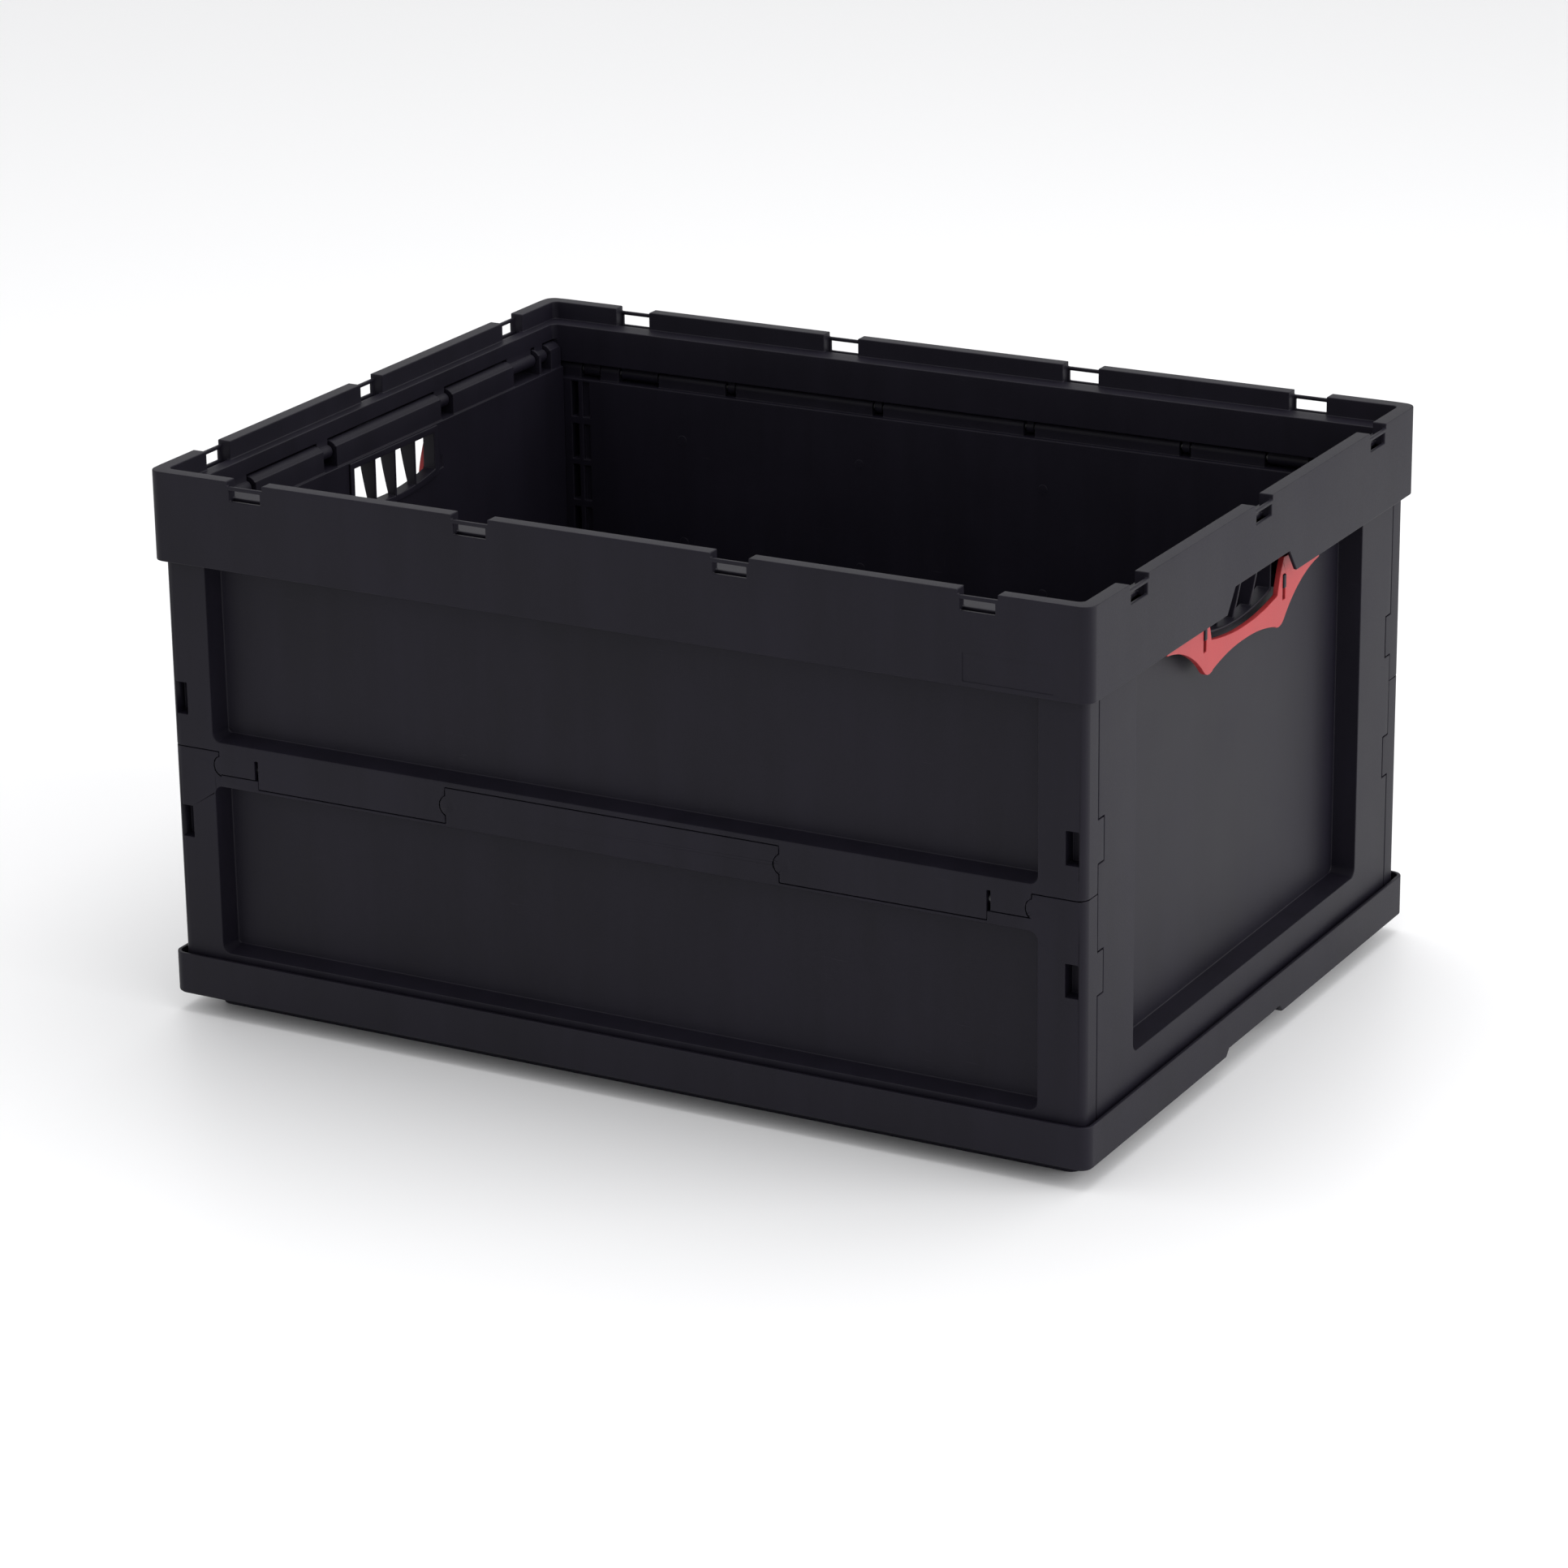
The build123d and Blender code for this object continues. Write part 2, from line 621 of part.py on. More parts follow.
def make_release_slide():
    """The bat-wing slide of the right end wall, with its guide slots and spring notches."""
    with BuildPart() as slide:
        with BuildSketch(end_plane(slide_outer_x - slide_thickness)) as outline:
            with BuildLine() as half:
                ThreePointArc(*slide_arch)
                ThreePointArc(*slide_foot)
                ThreePointArc(*slide_wing)
                Polyline(*slide_top)
                ThreePointArc(*slide_prong)
                mirror(about=Plane.YZ)
                ThreePointArc(*slide_saddle)
            make_face()
        extrude(outline.sketch, amount=slide_thickness)
        x_ends = (slide_outer_x - slide_thickness - overlap, slide_outer_x + overlap)
        for side in (-1, 1):
            y = side * guide_y
            block(*x_ends, y - guide_slot_width / 2, y + guide_slot_width / 2,
                  guide_slot_bottom, guide_slot_top, Mode.SUBTRACT)
            y = side * spring_y
            block(*x_ends, y - spring_notch_width / 2, y + spring_notch_width / 2,
                  spring_seat_z, end_top, Mode.SUBTRACT)
    return slide


def make_release_springs():
    """The two coil springs that push the slide back down."""
    spring_height = spring_top_z - spring_seat_z - 2 * (spring_wire + spring_play)
    start_z = spring_seat_z + spring_wire + spring_play
    with BuildPart() as springs:
        for side in (-1, 1):
            y = side * spring_y
            with BuildLine(Plane((spring_x, y, start_z))) as coil:
                Helix(spring_height / spring_turns, spring_height, spring_radius)
            with BuildSketch(coil.line ^ 0) as wire:
                Circle(spring_wire)
            sweep(wire.sketch, path=coil.line, is_frenet=True)
    return springs


def make_rod(along, centre, rod_length):
    """A plain steel hinge rod."""
    with BuildPart() as pin:
        rod(along, centre, rod_radius, rod_length)
    return pin


def turned(piece):
    """The same piece on the opposite side of the box."""
    with BuildPart() as opposite:
        add(piece.part, rotation=(0, 0, 180))
    return opposite


def write(name, piece):
    """Label a finished piece and write it as a STEP file of the same name."""
    piece.part.label = name
    export_step(piece.part, f"parts/{name}.step")


os.makedirs("parts", exist_ok=True)

write("base_tray", make_base_tray())
write("top_frame", make_top_frame())

front_pieces = {
    "upper_panel": make_upper_panel(),
    "lower_panel": make_lower_panel(),
    "base_hinge_rod": make_rod("x", (0, -side_axis_y, base_axis_z), long_rod_length),
    "middle_hinge_rod": make_rod("x", (0, -mid_axis_y, mid_axis_z), mid_rod_length),
    "frame_hinge_rod": make_rod("x", (0, -side_axis_y, top_axis_z), long_rod_length),
}
for name, piece in front_pieces.items():
    write(f"front_{name}", piece)
    write(f"back_{name}", turned(piece))

right_pieces = {
    "end_wall": make_end_wall(),
    "grip_insert": make_grip_insert(),
    "release_slide": make_release_slide(),
    "release_springs": make_release_springs(),
    "end_hinge_rod": make_rod("y", (end_axis_x, 0, end_axis_z), end_rod_length),
}
for name, piece in right_pieces.items():
    write(f"right_{name}", piece)
    write(f"left_{name}", turned(piece))
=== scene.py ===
"""Looks of an open folding transport box: charcoal mouldings, red slides and steel rods.

Lengths are metres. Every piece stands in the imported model's own frame: X along the box's
length, Y along its width, Z up from the surface that it stands on.
"""

import logging
import math
from dataclasses import dataclass, field
from enum import Enum

import bmesh
import bpy
from mathutils import Matrix, Vector
from mathutils.bvhtree import BVHTree


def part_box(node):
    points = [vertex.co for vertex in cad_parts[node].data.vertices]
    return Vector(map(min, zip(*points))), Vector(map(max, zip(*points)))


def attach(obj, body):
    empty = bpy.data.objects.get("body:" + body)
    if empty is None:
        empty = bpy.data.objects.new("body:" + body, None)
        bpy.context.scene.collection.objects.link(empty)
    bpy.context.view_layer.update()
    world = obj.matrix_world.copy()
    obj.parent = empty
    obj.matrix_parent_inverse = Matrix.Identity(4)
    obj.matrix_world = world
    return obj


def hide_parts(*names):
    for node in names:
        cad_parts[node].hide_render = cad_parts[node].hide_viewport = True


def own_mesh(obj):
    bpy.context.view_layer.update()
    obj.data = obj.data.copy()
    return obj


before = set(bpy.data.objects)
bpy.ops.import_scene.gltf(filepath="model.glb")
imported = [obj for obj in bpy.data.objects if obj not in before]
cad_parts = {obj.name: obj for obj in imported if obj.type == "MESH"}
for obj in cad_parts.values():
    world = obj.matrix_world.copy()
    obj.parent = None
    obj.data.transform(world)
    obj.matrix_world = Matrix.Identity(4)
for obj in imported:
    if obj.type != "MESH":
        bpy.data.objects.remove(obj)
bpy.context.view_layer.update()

log = logging.getLogger("folding_box")
MM = 0.001
MERGE_DISTANCE = 0.004 * MM


class Side(Enum):
    """The two long sides of the box."""

    FRONT = "front"
    BACK = "back"


class End(Enum):
    """The two short ends of the box, each with the direction that it faces along X."""

    RIGHT = "right"
    LEFT = "left"

    @property
    def direction(self) -> int:
        """Give +1 for the right end and -1 for the left one."""
        return 1 if self is End.RIGHT else -1


class Value:
    """A node's output in an expression; each operator adds the Math node that it stands for."""

    def __init__(self, shader: "Shader", socket: bpy.types.NodeSocket) -> None:
        """Wrap a socket of a shader's tree."""
        self.shader = shader
        self.socket = socket

    def _maths(self, operation: str, *terms: "Value | float") -> "Value":
        """Add one Math node.

        Args:
            operation: the node's operation.
            terms: its inputs, in order.

        Returns:
            The node's result.
        """
        return self.shader.node(
            "ShaderNodeMath", {"operation": operation}, dict(enumerate(terms)))

    def __add__(self, other: "Value | float") -> "Value":
        """Add a number or value."""
        return self._maths("ADD", self, other)

    def __radd__(self, other: float) -> "Value":
        """Add to a number."""
        return self._maths("ADD", other, self)

    def __sub__(self, other: "Value | float") -> "Value":
        """Take a number or value away."""
        return self._maths("SUBTRACT", self, other)

    def __rsub__(self, other: float) -> "Value":
        """Take this value away from a number."""
        return self._maths("SUBTRACT", other, self)

    def __mul__(self, other: "Value | float") -> "Value":
        """Multiply by a number or value."""
        return self._maths("MULTIPLY", self, other)

    def __rmul__(self, other: float) -> "Value":
        """Multiply a number."""
        return self._maths("MULTIPLY", other, self)

    def between(self, low: float, high: float) -> "Value":
        """Ramp smoothly from 0 at low to 1 at high.

        Args:
            low: the value that gives 0.
            high: the value that gives 1, which may be the smaller one.

        Returns:
            The smooth step.
        """
        return self.shader.node(
            "ShaderNodeMapRange", {"interpolation_type": "SMOOTHSTEP"},
            {"Value": self, "From Min": low, "From Max": high})


class Shader:
    """A material's node tree, with a Principled shader as its surface."""

    def __init__(self, name: str) -> None:
        """Start a material.

        Args:
            name: the material's name.
        """
        self.material = bpy.data.materials.new(name)
        self.material.use_nodes = True
        self.tree = self.material.node_tree
        self.surface = self.tree.nodes["Principled BSDF"]

    def node(self, kind: str, settings: dict, inputs: dict, output: "int | str" = 0) -> Value:
        """Add any node.

        Args:
            kind: the node's type.
            settings: attributes, such as a Math node's operation, set before its inputs.
            inputs: numbers, colours or values for its sockets, by name or index.
            output: the socket to give back.

        Returns:
            The chosen output.
        """
        made = self.tree.nodes.new(kind)
        for key, setting in settings.items():
            setattr(made, key, setting)
        for key, term in inputs.items():
            self.link(term, made.inputs[key])
        return Value(self, made.outputs[output])

    def link(self, term: "Value | float | tuple", socket: bpy.types.NodeSocket) -> None:
        """Feed a socket with a value's link or with a plain number or colour."""
        if isinstance(term, Value):
            self.tree.links.new(term.socket, socket)
        else:
            socket.default_value = term

    def place(self, stretch: tuple[float, float, float] = (1.0, 1.0, 1.0)) -> Value:
        """Give the place on the piece, in metres, stretched along each axis."""
        coordinates = self.node("ShaderNodeTexCoord", {}, {}, "Object")
        return self.node("ShaderNodeMapping", {}, {"Vector": coordinates, "Scale": stretch})

    def noise(self, place: Value, size: float, detail: float = 2.0,
              roughness: float = 0.5) -> Value:
        """Add a noise pattern.

        Args:
            place: where the pattern is read.
            size: the width of its blotches, in metres.
            detail: octaves of finer noise.
            roughness: the weight of the finer octaves.

        Returns:
            The pattern, about 0.5 on average.
        """
        return self.node(
            "ShaderNodeTexNoise", {},
            {"Vector": place, "Scale": 1.0 / size, "Detail": detail, "Roughness": roughness})

    def mix(self, share: Value, first: "Value | tuple", second: "Value | tuple") -> Value:
        """Mix two colours.

        Args:
            share: 0 for the first colour, 1 for the second.
            first: a colour.
            second: another colour.

        Returns:
            The mixed colour.
        """
        mixed = self.tree.nodes.new("ShaderNodeMix")
        mixed.data_type = "RGBA"
        self.link(share, mixed.inputs["Factor"])
        for name, colour in (("A", first), ("B", second)):
            self.link(colour, [s for s in mixed.inputs if s.name == name and s.type == "RGBA"][0])
        return Value(self, [s for s in mixed.outputs if s.type == "RGBA"][0])

    def bump(self, height: Value, depth: float, below: "Value | None" = None) -> Value:
        """Add a bump.

        Args:
            height: the pattern, from 0 to 1.
            depth: the height that 1 stands for, in metres.
            below: a bump that this one adds to.

        Returns:
            The normal.
        """
        inputs = {"Height": height, "Distance": depth, "Strength": 1.0}
        if below is not None:
            inputs["Normal"] = below
        return self.node("ShaderNodeBump", {}, inputs)

    def edges(self, radius: float) -> Value:
        """Find the convex and concave edges of the piece.

        Args:
            radius: how far from an edge the mask reaches, in metres.

        Returns:
            0 on the flats, rising to 1 on sharp edges.
        """
        rounded = self.node("ShaderNodeBevel", {"samples": 4}, {"Radius": radius}, "Normal")
        true_normal = self.node("ShaderNodeNewGeometry", {}, {}, "Normal")
        same = self.node("ShaderNodeVectorMath", {"operation": "DOT_PRODUCT"},
                         {0: rounded, 1: true_normal}, "Value")
        return same.between(0.999, 0.9)


@dataclass(frozen=True)
class MouldedPlastic:
    """An injection moulding's finish: spark-eroded grain, flow shading, scuffs and worn edges."""

    name: str
    colour: tuple[float, float, float]
    worn: tuple[float, float, float]
    roughness: float = 0.42
    roughness_play: float = 0.12
    specular: float = 0.3
    shade_play: float = 0.18
    grain_size: float = 0.9 * MM
    grain_depth: float = 0.05 * MM
    sink_size: float = 85 * MM
    sink_depth: float = 0.35 * MM
    edge_reach: float = 0.9 * MM
    edge_share: float = 0.35
    scuff_share: float = 0.25
    scuff_roughness: float = 0.1
    cloud_size: float = 140 * MM
    cloud_share: float = 0.55
    streak_size: float = 26 * MM
    streak_stretch: tuple[float, float, float] = (1.0, 1.0, 0.12)
    chip_size: float = 7 * MM
    chip_range: tuple[float, float] = (0.36, 0.62)
    tone_range: tuple[float, float] = (0.3, 0.7)

    def material(self) -> bpy.types.Material:
        """Build the material.

        Returns:
            The finished material.
        """
        shader = Shader(self.name)
        place = shader.place()
        clouds = shader.noise(place, self.cloud_size, 4.0, 0.6)
        streaks = shader.noise(shader.place(self.streak_stretch), self.streak_size, 3.0, 0.55)
        grain = shader.noise(place, self.grain_size, 2.0, 0.55)
        scratches = self._scratches(shader)
        edge = shader.edges(self.edge_reach)
        chipped = edge * shader.noise(place, self.chip_size, 3.0).between(*self.chip_range)
        blend = clouds * self.cloud_share + streaks * (1.0 - self.cloud_share)
        tone = blend.between(*self.tone_range)
        dark = tuple(c * (1.0 - self.shade_play) for c in self.colour) + (1.0,)
        light = tuple(c * (1.0 + self.shade_play) for c in self.colour) + (1.0,)
        body = shader.mix(tone, dark, light)
        marked = shader.mix(scratches * self.scuff_share, body, (*self.worn, 1.0))
        worn = shader.mix(chipped * self.edge_share, marked, (*self.worn, 1.0))
        surface = shader.surface
        shader.link(worn, surface.inputs["Base Color"])
        rough = (self.roughness + (clouds - 0.5) * self.roughness_play
                 + (grain - 0.5) * self.roughness_play + scratches * self.scuff_roughness)
        shader.link(rough, surface.inputs["Roughness"])
        surface.inputs["Specular IOR Level"].default_value = self.specular
        sink = shader.bump(shader.noise(place, self.sink_size, 1.0, 0.4), self.sink_depth)
        fine = shader.bump(grain, self.grain_depth, sink)
        shader.link(fine, surface.inputs["Normal"])
        return shader.material

    def _scratches(self, shader: Shader) -> Value:
        """Scatter short handling scuffs.

        Args:
            shader: the tree that they are added to.

        Returns:
            0 on the clean plastic and up to 1 in a scuff.
        """
        lengthwise = shader.noise(shader.place((0.05, 0.3, 1.0)), 1.1 * MM, 2.0, 0.6)
        upright = shader.noise(shader.place((1.0, 1.0, 0.06)), 1.3 * MM, 2.0, 0.6)
        where = shader.noise(shader.place(), 60 * MM, 3.0, 0.6).between(0.56, 0.74)
        lines = lengthwise.between(0.63, 0.75) + upright.between(0.66, 0.78)
        return lines * where


@dataclass(frozen=True)
class DrawnSteel:
    """Drawn steel wire: bright, with fine lines along it and a few dull blotches."""

    name: str
    colour: tuple[float, float, float]
    stretch: tuple[float, float, float]
    roughness: float = 0.3
    line_size: float = 0.5 * MM
    line_depth: float = 0.02 * MM
    line_roughness: float = 0.12
    dull_size: float = 18 * MM
    dull_range: tuple[float, float] = (0.45, 0.7)
    dull_roughness: float = 0.15
    dull_shade: float = 0.72

    def material(self) -> bpy.types.Material:
        """Build the material.

        Returns:
            The finished material.
        """
        shader = Shader(self.name)
        lines = shader.noise(shader.place(self.stretch), self.line_size, 3.0, 0.6)
        dull = shader.noise(shader.place(), self.dull_size, 3.0).between(*self.dull_range)
        dark = tuple(c * self.dull_shade for c in self.colour) + (1.0,)
        surface = shader.surface
        shader.link(shader.mix(lines * 0.5 + dull * 0.5, (*self.colour, 1.0), dark),
                    surface.inputs["Base Color"])
        rough = self.roughness + lines * self.line_roughness + dull * self.dull_roughness
        shader.link(rough, surface.inputs["Roughness"])
        surface.inputs["Metallic"].default_value = 1.0
        shader.link(shader.bump(lines, self.line_depth), surface.inputs["Normal"])
        return shader.material


CHARCOAL = MouldedPlastic("charcoal_plastic", (0.0079, 0.0068, 0.0122), (0.04, 0.038, 0.048),
                          roughness=0.5, specular=0.16)
RED = MouldedPlastic("red_plastic", (0.36, 0.026, 0.03), (0.75, 0.25, 0.25), roughness=0.4,
                     specular=0.26, shade_play=0.08, sink_depth=0.1 * MM)
ROD_STEEL = DrawnSteel("rod_steel", (0.24, 0.24, 0.25), (0.02, 0.02, 1.0), roughness=0.45)
SPRING_STEEL = DrawnSteel("spring_steel", (0.45, 0.45, 0.47), (1.0, 1.0, 0.3), roughness=0.35)


@dataclass(frozen=True)
class Pad:
    """A low round pad that a mould's ejector pin or gate leaves on a wall."""

    radius: float = 4.0 * MM
    height: float = 0.25 * MM
    rim: float = 0.1 * MM
    depth: float = 1.2 * MM
    segments: int = 24

    def add(self, work: bmesh.types.BMesh, start: Vector, direction: Vector) -> None:
        """Set a pad on the wall that a line meets first.

        Args:
            work: the mesh that gets the pad.
            start: where the line begins.
            direction: the way that it goes.
        """
        place, normal, _, _ = BVHTree.FromBMesh(work).ray_cast(start, direction)
        middle = place + normal * (self.height - self.depth / 2)
        turn = normal.to_track_quat("Z", "Y").to_matrix().to_4x4()
        made = bmesh.ops.create_cone(
            work, cap_ends=True, segments=self.segments, radius1=self.radius,
            radius2=self.radius, depth=self.depth, matrix=Matrix.Translation(middle) @ turn)
        top = {vert for vert in made["verts"] if (vert.co - middle).dot(normal) > 0.0}
        rim = [edge for edge in {e for vert in top for e in vert.link_edges}
               if set(edge.verts) <= top]
        bmesh.ops.bevel(work, geom=rim, offset=self.rim, offset_type="OFFSET", segments=1,
                        profile=0.5, affect="EDGES", material=-1)


@dataclass
class Moulding:
    """A moulded piece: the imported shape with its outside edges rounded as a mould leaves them."""

    node: str
    body: str
    finish: bpy.types.Material
    slot: str = "body_plastic"
    pads: tuple[tuple[Pad, Vector, Vector], ...] = ()
    edge_radius: float = 0.7 * MM
    narrowest: float = 1.7 * MM
    sharpest: float = math.radians(35)
    flat_angle: float = math.radians(0.4)
    round_segments: int = 2

    def build(self) -> bpy.types.Object:
        """Returns:
            The piece's object.
        """
        mesh, work = open_copy(self.node)
        bmesh.ops.dissolve_limit(work, angle_limit=self.flat_angle, verts=work.verts,
                                 edges=work.edges, delimit={"NORMAL"})
        for pad, start, direction in self.pads:
            pad.add(work, start, direction)
        weights = work.edges.layers.float.new("bevel_weight_edge")
        for edge in self._rounded_edges(work):
            edge[weights] = 1.0
        many_sided = [face for face in work.faces if len(face.verts) > 4]
        bmesh.ops.triangulate(work, faces=many_sided, quad_method="BEAUTY",
                              ngon_method="BEAUTY")
        piece = close_copy(f"{self.node}_moulding", mesh, work, self.finish)
        self._round(piece)
        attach(piece, self.body)
        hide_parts(self.node)
        log.info("%s: %d faces before rounding", piece.name, len(mesh.polygons))
        return piece

    def _rounded_edges(self, work: bmesh.types.BMesh) -> list[bmesh.types.BMEdge]:
        """Choose the edges to round.

        Args:
            work: the merged mesh.

        Returns:
            The sharp edges with room for the rounding beside them.
        """
        chosen = []
        for edge in work.edges:
            if len(edge.link_faces) != 2 or edge.calc_face_angle(0.0) < self.sharpest:
                continue
            if all(self._width(face, edge) > self.narrowest for face in edge.link_faces):
                chosen.append(edge)
        return chosen

    @staticmethod
    def _width(face: bmesh.types.BMFace, edge: bmesh.types.BMEdge) -> float:
        """Measure a face at right angles to one of its edges.

        Args:
            face: the face.
            edge: one of its edges.

        Returns:
            The face's width, in metres.
        """
        start, end = (vert.co for vert in edge.verts)
        along = (end - start).normalized()
        across = face.normal.cross(along)
        reach = [abs((vert.co - start).dot(across)) for vert in face.verts]
        return max(reach)

    def _round(self, piece: bpy.types.Object) -> None:
        """Round the marked edges and keep the flats flat-shaded.

        Args:
            piece: the object.
        """
        bevel = piece.modifiers.new("rounded_edges", "BEVEL")
        bevel.limit_method = "WEIGHT"
        bevel.width = self.edge_radius
        bevel.segments = self.round_segments
        bevel.use_clamp_overlap = False
        bevel.harden_normals = False
        normals = piece.modifiers.new("flat_faces", "WEIGHTED_NORMAL")
        normals.keep_sharp = True
        normals.weight = 100


@dataclass
class BaseTray:
    """The tray that stands on the floor, with its ejector pads and its gate."""

    plastic: bpy.types.Material
    columns: int = 5
    rows: int = 4
    pitch: float = 120 * MM
    pad: Pad = Pad(radius=5.0 * MM)
    gate: Pad = Pad(radius=3.0 * MM, height=0.5 * MM)
    gate_offset: float = 20 * MM

    def build(self) -> None:
        """Build the tray: pads in a grid on its floor and the gate beside its middle rib."""
        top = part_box("base_tray")[1][2]
        down = Vector((0.0, 0.0, -1.0))
        pads = [(self.pad, Vector((x, y, top)), down)
                for x in spread(self.columns, self.pitch) for y in spread(self.rows, self.pitch)]
        pads.append((self.gate, Vector((self.gate_offset, self.gate_offset, -top)), -down))
        Moulding("base_tray", "box", self.plastic, pads=tuple(pads)).build()


@dataclass
class TopFrame:
    """The frame that joins the four walls at the top."""

    plastic: bpy.types.Material
    edge_radius: float = 0.8 * MM

    def build(self) -> None:
        """Build the frame."""
        Moulding("top_frame", "box", self.plastic, edge_radius=self.edge_radius).build()


@dataclass
class LongWall:
    """A long side: two panels that meet at the middle hinge, and their three hinge rods."""

    side: Side
    plastic: bpy.types.Material
    steel: bpy.types.Material
    columns: int = 4
    pitch: float = 170 * MM
    spread_up: float = 90 * MM
    pad: Pad = Pad()

    def build(self) -> None:
        """Build both panels and dress the rods."""
        for half in ("upper", "lower"):
            self._panel(f"{self.side.value}_{half}_panel")
        for place in ("base", "middle", "frame"):
            dress(f"{self.side.value}_{place}_hinge_rod", self.steel)

    def _panel(self, node: str) -> None:
        """Build one panel with two rows of pads on its inner face.

        Args:
            node: the panel's name.
        """
        low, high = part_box(node)
        outward = Vector((0.0, math.copysign(1.0, low[1] + high[1]), 0.0))
        middle = (low[2] + high[2]) / 2
        pads = tuple((self.pad, Vector((x, 0.0, middle + z)), outward)
                     for x in spread(self.columns, self.pitch)
                     for z in spread(2, self.spread_up))
        Moulding(node, "box", self.plastic, pads=pads).build()


@dataclass
class EndWall:
    """A short side that swings inwards: its panel, its grip and its hinge rod."""

    end: End
    plastic: bpy.types.Material
    steel: bpy.types.Material
    columns: int = 3
    rows: int = 2
    pitch_across: float = 180 * MM
    pitch_up: float = 130 * MM
    pad_height: float = 190 * MM
    pad: Pad = Pad()

    def build(self) -> None:
        """Build the wall and its grip, and dress its rod."""
        outward = Vector((self.end.direction, 0.0, 0.0))
        pads = tuple((self.pad, Vector((0.0, y, self.pad_height + z)), outward)
                     for y in spread(self.columns, self.pitch_across)
                     for z in spread(self.rows, self.pitch_up))
        body = f"{self.end.value}_wall"
        Moulding(f"{self.end.value}_end_wall", body, self.plastic, pads=pads).build()
        Moulding(f"{self.end.value}_grip_insert", body, self.plastic).build()
        dress(f"{self.end.value}_end_hinge_rod", self.steel)


@dataclass
class ReleaseSlide:
    """The red slide that locks an end wall, and the two springs that hold it down."""

    end: End
    plastic: bpy.types.Material
    steel: bpy.types.Material
    edge_radius: float = 0.6 * MM

    def build(self) -> None:
        """Build the slide and its springs."""
        Moulding(f"{self.end.value}_release_slide", f"{self.end.value}_slide", self.plastic,
                 slot="slide_plastic", edge_radius=self.edge_radius).build()
        self._springs(f"{self.end.value}_release_springs")

    def _springs(self, node: str) -> None:
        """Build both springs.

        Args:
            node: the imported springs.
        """
        mesh, work = open_copy(node)
        wires = close_copy(f"{node}_wires", mesh, work, self.steel)
        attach(wires, f"{self.end.value}_wall")
        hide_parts(node)
        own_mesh(wires)
        log.info("%s: %d faces", wires.name, len(mesh.polygons))


def open_copy(node: str) -> tuple[bpy.types.Mesh, bmesh.types.BMesh]:
    """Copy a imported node's mesh and join its loose triangles.

    Args:
        node: the node's name.

    Returns:
        The copied mesh, and its joined faces to work on.
    """
    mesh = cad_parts[node].data.copy()
    work = bmesh.new()
    work.from_mesh(mesh)
    bmesh.ops.remove_doubles(work, verts=work.verts, dist=MERGE_DISTANCE)
    return mesh, work


def close_copy(name: str, mesh: bpy.types.Mesh, work: bmesh.types.BMesh,
               finish: bpy.types.Material) -> bpy.types.Object:
    """Put worked faces back into their mesh and make it a dressed object.

    Args:
        name: the object's name.
        mesh: the mesh that takes the faces.
        work: the faces, which are freed.
        finish: the material.

    Returns:
        The object, in the scene.
    """
    for face in work.faces:
        face.smooth = True
    work.to_mesh(mesh)
    work.free()
    mesh.materials.clear()
    mesh.materials.append(finish)
    piece = bpy.data.objects.new(name, mesh)
    bpy.context.scene.collection.objects.link(piece)
    return piece


def spread(count: int, pitch: float) -> list[float]:
    """Space places evenly about zero.

    Args:
        count: how many there are.
        pitch: the distance from one to the next.

    Returns:
        The places, lowest first.
    """
    return [(number - (count - 1) / 2) * pitch for number in range(count)]


def dress(node: str, finish: bpy.types.Material) -> None:
    """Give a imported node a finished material.

    Args:
        node: the node's name.
        finish: the material.
    """
    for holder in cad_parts[node].material_slots:
        holder.material = finish
    log.info("%s: dressed in %s", node, finish.name)


@dataclass(frozen=True)
class Softbox:
    """A square soft light: where it hangs, what it faces, its width and its watts."""

    name: str
    place: tuple[float, float, float]
    target: tuple[float, float, float]
    size: float
    power: float

    def build(self) -> None:
        """Hang the light and turn it to its target."""
        lamp = bpy.data.lights.new(self.name, "AREA")
        lamp.shape = "SQUARE"
        lamp.size = self.size
        lamp.energy = self.power
        light = bpy.data.objects.new(self.name, lamp)
        aim = Vector(self.target) - Vector(self.place)
        light.matrix_world = (Matrix.Translation(self.place)
                              @ aim.to_track_quat("-Z", "Y").to_matrix().to_4x4())
        bpy.context.scene.collection.objects.link(light)


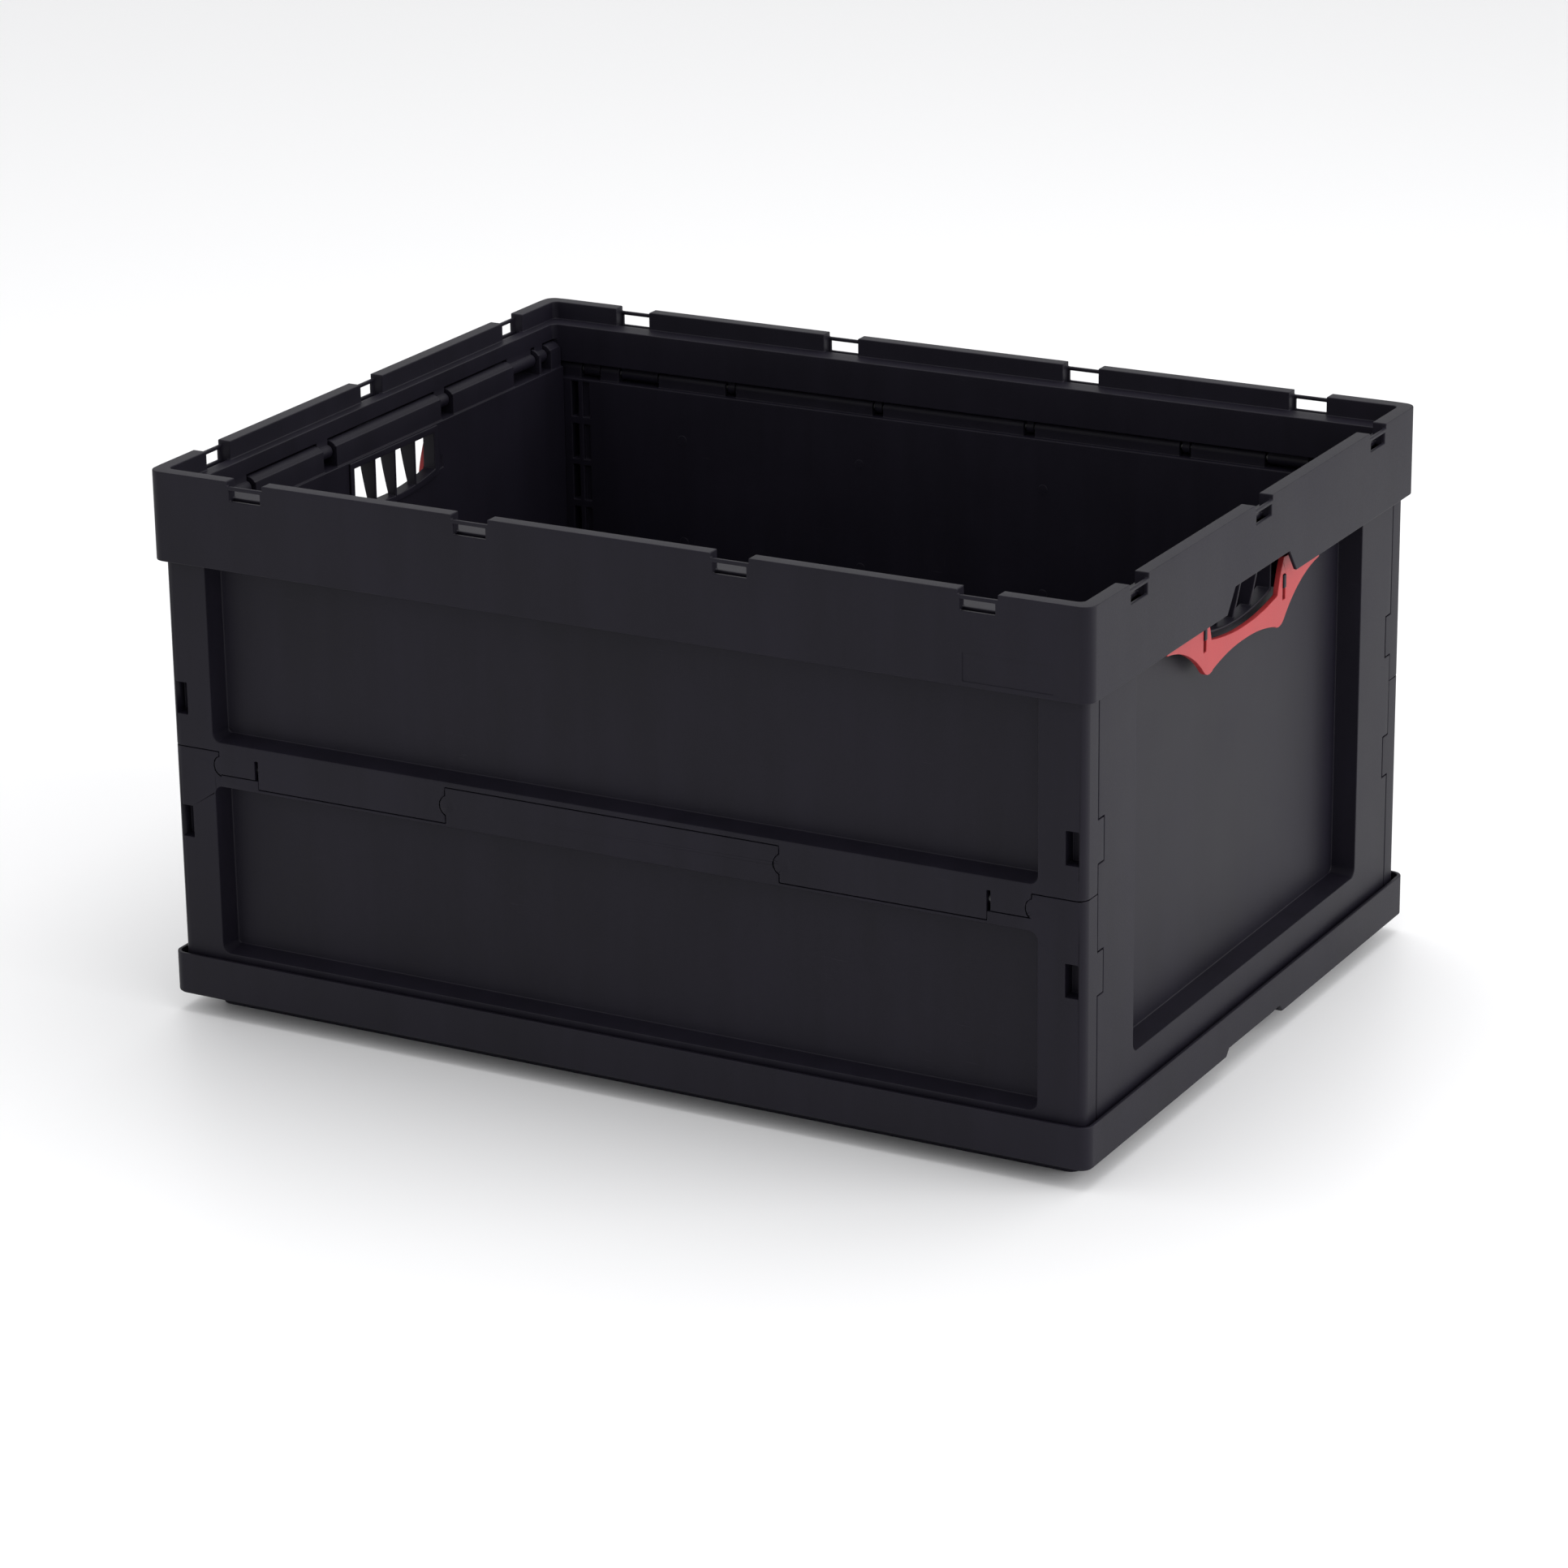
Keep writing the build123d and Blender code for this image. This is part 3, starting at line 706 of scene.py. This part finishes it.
@dataclass
class Studio:
    """The pale floor, the soft lights and the camera."""

    eye: Vector = field(default_factory=lambda: Vector((1.916, -3.506, 1.563)))
    azimuth: float = math.radians(28.80)
    elevation: float = math.radians(19.37)
    roll: float = math.radians(-0.77)
    focal_length: float = 122.07
    sensor_width: float = 36.0
    farthest: float = 100.0
    room_strength: float = 0.88
    floor_size: float = 30.0
    floor_colour: tuple[float, float, float, float] = (0.9, 0.9, 0.91, 1.0)
    floor_roughness: float = 0.45
    softboxes: tuple[Softbox, ...] = (
        Softbox("key_right", (3.0, 0.5, 1.4), (0.3, 0.0, 0.2), 2.2, 46.0),
        Softbox("overhead", (0.0, 0.4, 3.4), (0.0, 0.0, 0.0), 3.0, 50.0))

    def build(self) -> None:
        """Build the floor, the lights, the backdrop light and the camera."""
        self._floor()
        self._camera()
        self._world()
        for softbox in self.softboxes:
            softbox.build()

    def _floor(self) -> None:
        """Lay a wide pale floor with a faint gloss."""
        work = bmesh.new()
        bmesh.ops.create_grid(work, x_segments=1, y_segments=1, size=self.floor_size)
        mesh = bpy.data.meshes.new("studio_floor")
        work.to_mesh(mesh)
        work.free()
        floor = bpy.data.objects.new("studio_floor", mesh)
        bpy.context.scene.collection.objects.link(floor)
        shader = Shader("pale_floor")
        shader.surface.inputs["Base Color"].default_value = self.floor_colour
        shader.surface.inputs["Roughness"].default_value = self.floor_roughness
        mesh.materials.append(shader.material)

    def _camera(self) -> None:
        """Stand the camera at its place and turn it."""
        forward = Vector((-math.sin(self.azimuth) * math.cos(self.elevation),
                          math.cos(self.azimuth) * math.cos(self.elevation),
                          -math.sin(self.elevation)))
        level = forward.cross(Vector((0.0, 0.0, 1.0))).normalized()
        upright = level.cross(forward)
        right = math.cos(self.roll) * level + math.sin(self.roll) * upright
        top = -math.sin(self.roll) * level + math.cos(self.roll) * upright
        turn = Matrix((right, top, -forward)).transposed().to_4x4()
        lens = bpy.data.cameras.new("studio_camera")
        lens.lens = self.focal_length
        lens.sensor_width = self.sensor_width
        lens.clip_end = self.farthest
        camera = bpy.data.objects.new("studio_camera", lens)
        camera.matrix_world = Matrix.Translation(self.eye) @ turn
        bpy.context.scene.collection.objects.link(camera)
        bpy.context.scene.camera = camera

    def _world(self) -> None:
        """Fill the room with even white light."""
        world = bpy.data.worlds.new("studio_room")
        world.use_nodes = True
        background = world.node_tree.nodes["Background"]
        background.inputs["Color"].default_value = (1.0, 1.0, 1.0, 1.0)
        background.inputs["Strength"].default_value = self.room_strength
        bpy.context.scene.world = world
        bpy.context.scene.view_settings.view_transform = "Standard"


def main() -> None:
    """Build the room, then the box's sub-assemblies."""
    logging.basicConfig(level=logging.INFO, format="%(name)s: %(message)s")
    Studio().build()
    charcoal = CHARCOAL.material()
    red = RED.material()
    rod_steel = ROD_STEEL.material()
    spring_steel = SPRING_STEEL.material()
    BaseTray(charcoal).build()
    TopFrame(charcoal).build()
    for side in Side:
        LongWall(side, charcoal, rod_steel).build()
    for end in End:
        EndWall(end, charcoal, rod_steel).build()
        ReleaseSlide(end, red, spring_steel).build()


if __name__ == "__main__":
    main()
